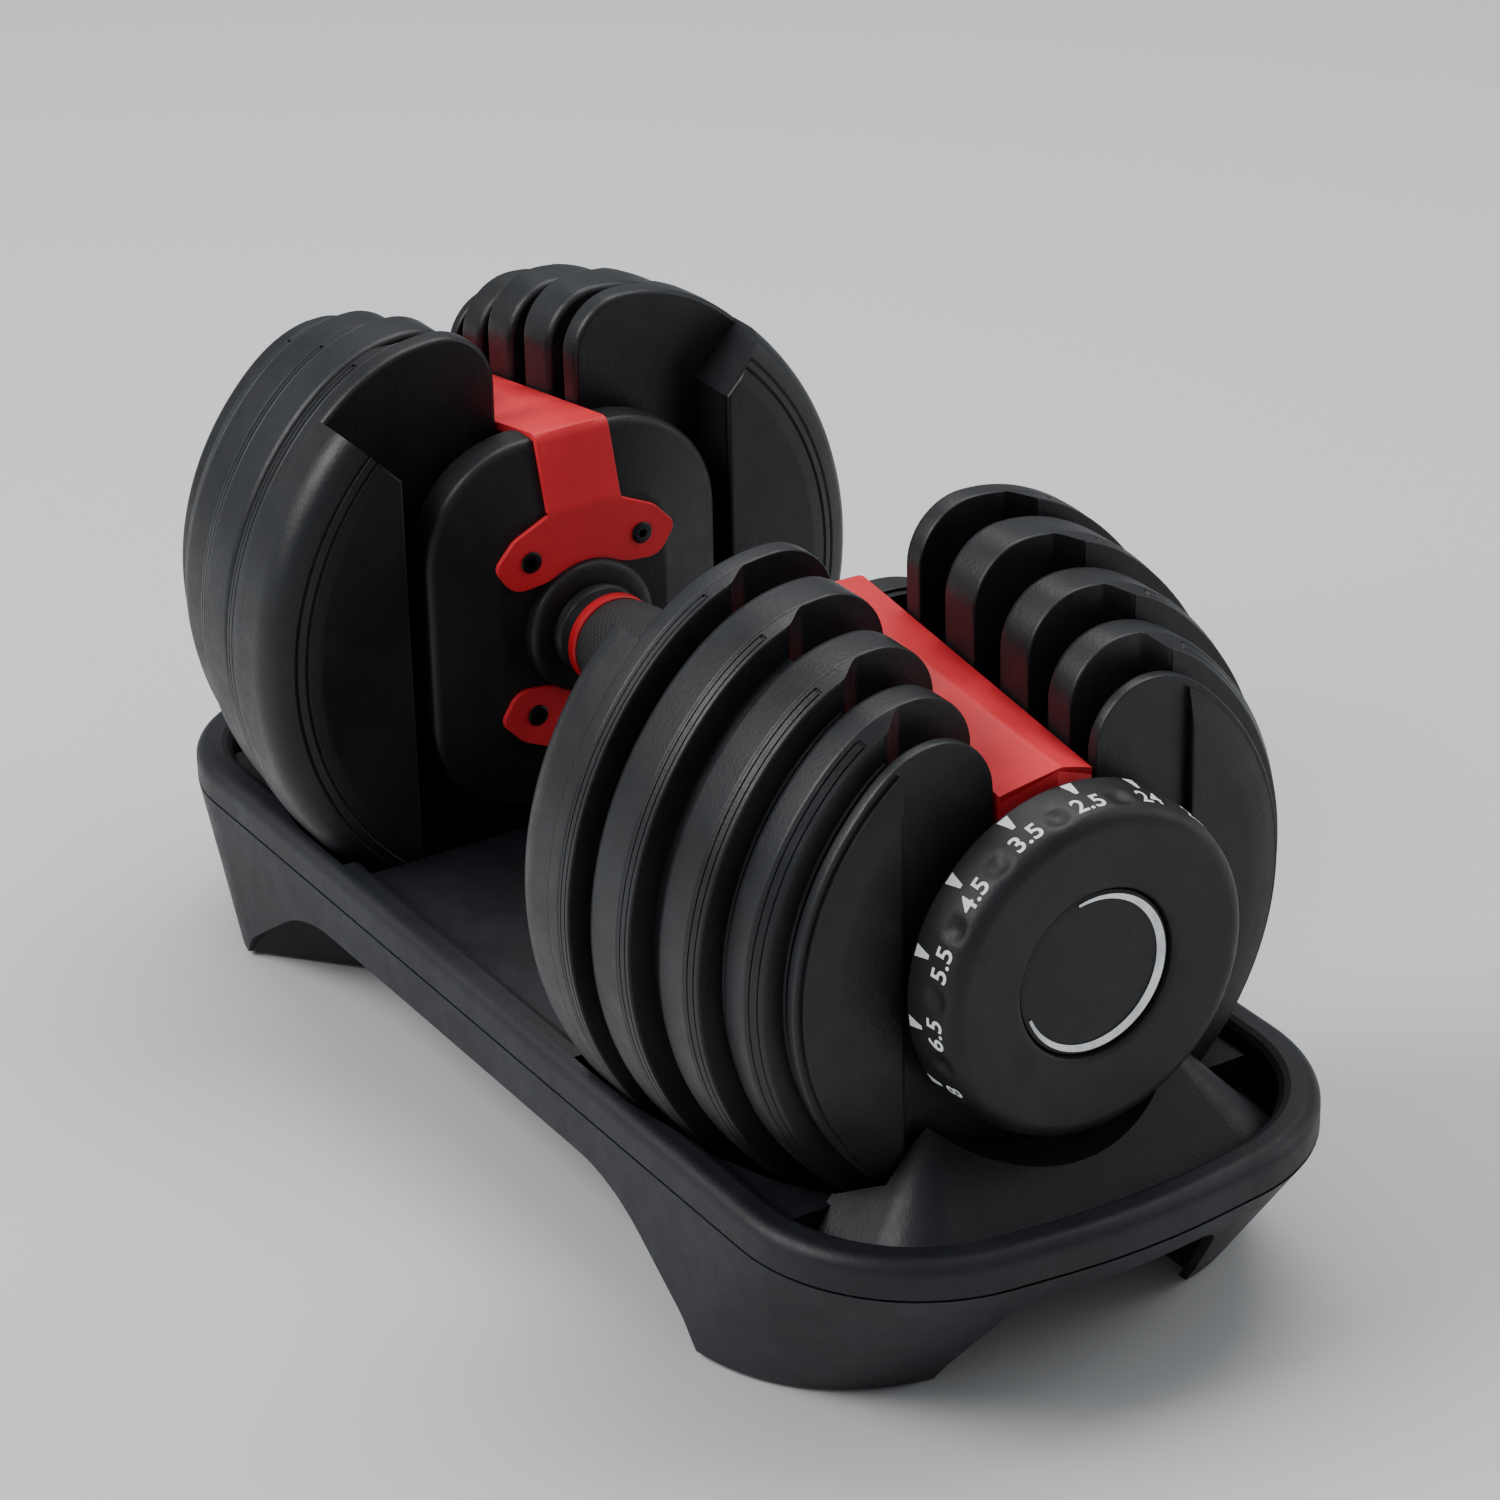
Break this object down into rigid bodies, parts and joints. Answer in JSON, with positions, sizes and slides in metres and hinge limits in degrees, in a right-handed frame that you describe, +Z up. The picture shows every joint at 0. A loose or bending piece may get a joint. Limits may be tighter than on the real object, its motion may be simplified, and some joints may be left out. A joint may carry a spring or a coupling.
{
  "type": "adjustable dumbbell with storage tray",
  "caption": "Adjustable dumbbell with nested weight plates, turning selector dials and a red-bracketed handle, docked in a moulded storage tray.",
  "frame": {"origin": "on the ground, below the middle of the tray", "axes": "+X along the handle towards the deeper end of the tray, +Z up, +Y across"},
  "size_m": [0.4225, 0.2064, 0.2112],
  "materials": {
    "charcoal_plastic": "fine moulded grain",
    "plate_plastic": "satin",
    "housing_plastic": "satin",
    "inner_plastic": "matt",
    "plate_iron": "as cast",
    "red_metal": "satin powder coat",
    "red_plastic": "satin",
    "steel": "bright zinc",
    "spring_steel": "bright",
    "black_screw": "black oxide",
    "silver_trim": "satin",
    "grip_rubber": "matt knurled",
    "collar_plastic": "satin",
    "foot_rubber": "matt"
  },
  "bodies": {
    "tray": {"tray_top": "charcoal_plastic", "tray_base": "charcoal_plastic", "tray_feet": "foot_rubber", "tray_screws": "black_screw", "lock_posts": "steel"},
    "plates_1": {"plate_1_cover_left": "plate_plastic", "plate_1_cover_right": "plate_plastic", "plate_1_core_left": "plate_iron", "plate_1_core_right": "plate_iron"},
    "plates_2": {"plate_2_cover_left": "plate_plastic", "plate_2_cover_right": "plate_plastic", "plate_2_core_left": "plate_iron", "plate_2_core_right": "plate_iron"},
    "plates_3": {"plate_3_cover_left": "plate_plastic", "plate_3_cover_right": "plate_plastic", "plate_3_core_left": "plate_iron", "plate_3_core_right": "plate_iron"},
    "plates_4": {"plate_4_cover_left": "plate_plastic", "plate_4_cover_right": "plate_plastic", "plate_4_core_left": "plate_iron", "plate_4_core_right": "plate_iron"},
    "plates_5": {"plate_5_cover_left": "plate_plastic", "plate_5_cover_right": "plate_plastic", "plate_5_core_left": "plate_iron", "plate_5_core_right": "plate_iron"},
    "handle": {"tie_rod": "steel", "grip_tube": "steel", "grip_sleeve": "grip_rubber", "grip_rings": "red_plastic", "grip_collars": "collar_plastic", "housing_left": "housing_plastic", "housing_right": "housing_plastic", "housing_cover_left": "housing_plastic", "housing_cover_right": "housing_plastic", "bridge_left": "red_metal", "bridge_right": "red_metal", "lower_bracket_left": "red_metal", "lower_bracket_right": "red_metal", "bracket_screws": "black_screw", "end_bearing_left": "housing_plastic", "end_bearing_right": "housing_plastic", "end_nuts": "steel", "lock_springs": "spring_steel", "detent_balls": "steel", "detent_springs": "spring_steel"},
    "lock": {"lock_pins": "steel"},
    "dial_left": {"dial_knob_left": "charcoal_plastic", "dial_cap_left": "charcoal_plastic", "dial_crescent_left": "silver_trim", "selector_tube_left": "steel", "selector_discs_left": "inner_plastic", "detent_wheel_left": "inner_plastic"},
    "dial_right": {"dial_knob_right": "charcoal_plastic", "dial_cap_right": "charcoal_plastic", "dial_crescent_right": "silver_trim", "selector_tube_right": "steel", "selector_discs_right": "inner_plastic", "detent_wheel_right": "inner_plastic"}
  },
  "joints": [
    {"name": "plates_1_lift", "type": "slide", "parent": "tray", "child": "plates_1", "axis": [0, 0, 1], "range_m": [0, 0.2]},
    {"name": "plates_2_lift", "type": "slide", "parent": "plates_1", "child": "plates_2", "axis": [0, 0, 1], "range_m": [0, 0.2]},
    {"name": "plates_3_lift", "type": "slide", "parent": "plates_2", "child": "plates_3", "axis": [0, 0, 1], "range_m": [0, 0.2]},
    {"name": "plates_4_lift", "type": "slide", "parent": "plates_3", "child": "plates_4", "axis": [0, 0, 1], "range_m": [0, 0.2]},
    {"name": "plates_5_lift", "type": "slide", "parent": "plates_4", "child": "plates_5", "axis": [0, 0, 1], "range_m": [0, 0.2]},
    {"name": "handle_lift", "type": "slide", "parent": "plates_5", "child": "handle", "axis": [0, 0, 1], "range_m": [0, 0.2]},
    {"name": "lock_drop", "type": "slide", "parent": "handle", "child": "lock", "axis": [0, 0, 1], "range_m": [-0.005, 0]},
    {"name": "dial_turn_left", "type": "hinge", "parent": "handle", "child": "dial_left", "pos_m": [-0.202, 0, 0.12], "axis": [1, 0, 0], "continuous": true},
    {"name": "dial_turn_right", "type": "hinge", "parent": "handle", "child": "dial_right", "pos_m": [0.178, 0, 0.12], "axis": [1, 0, 0], "continuous": true}
  ],
  "couplings": [
    {"joint": "lock_drop", "follows": "handle_lift", "ratio": -0.025}
  ]
}
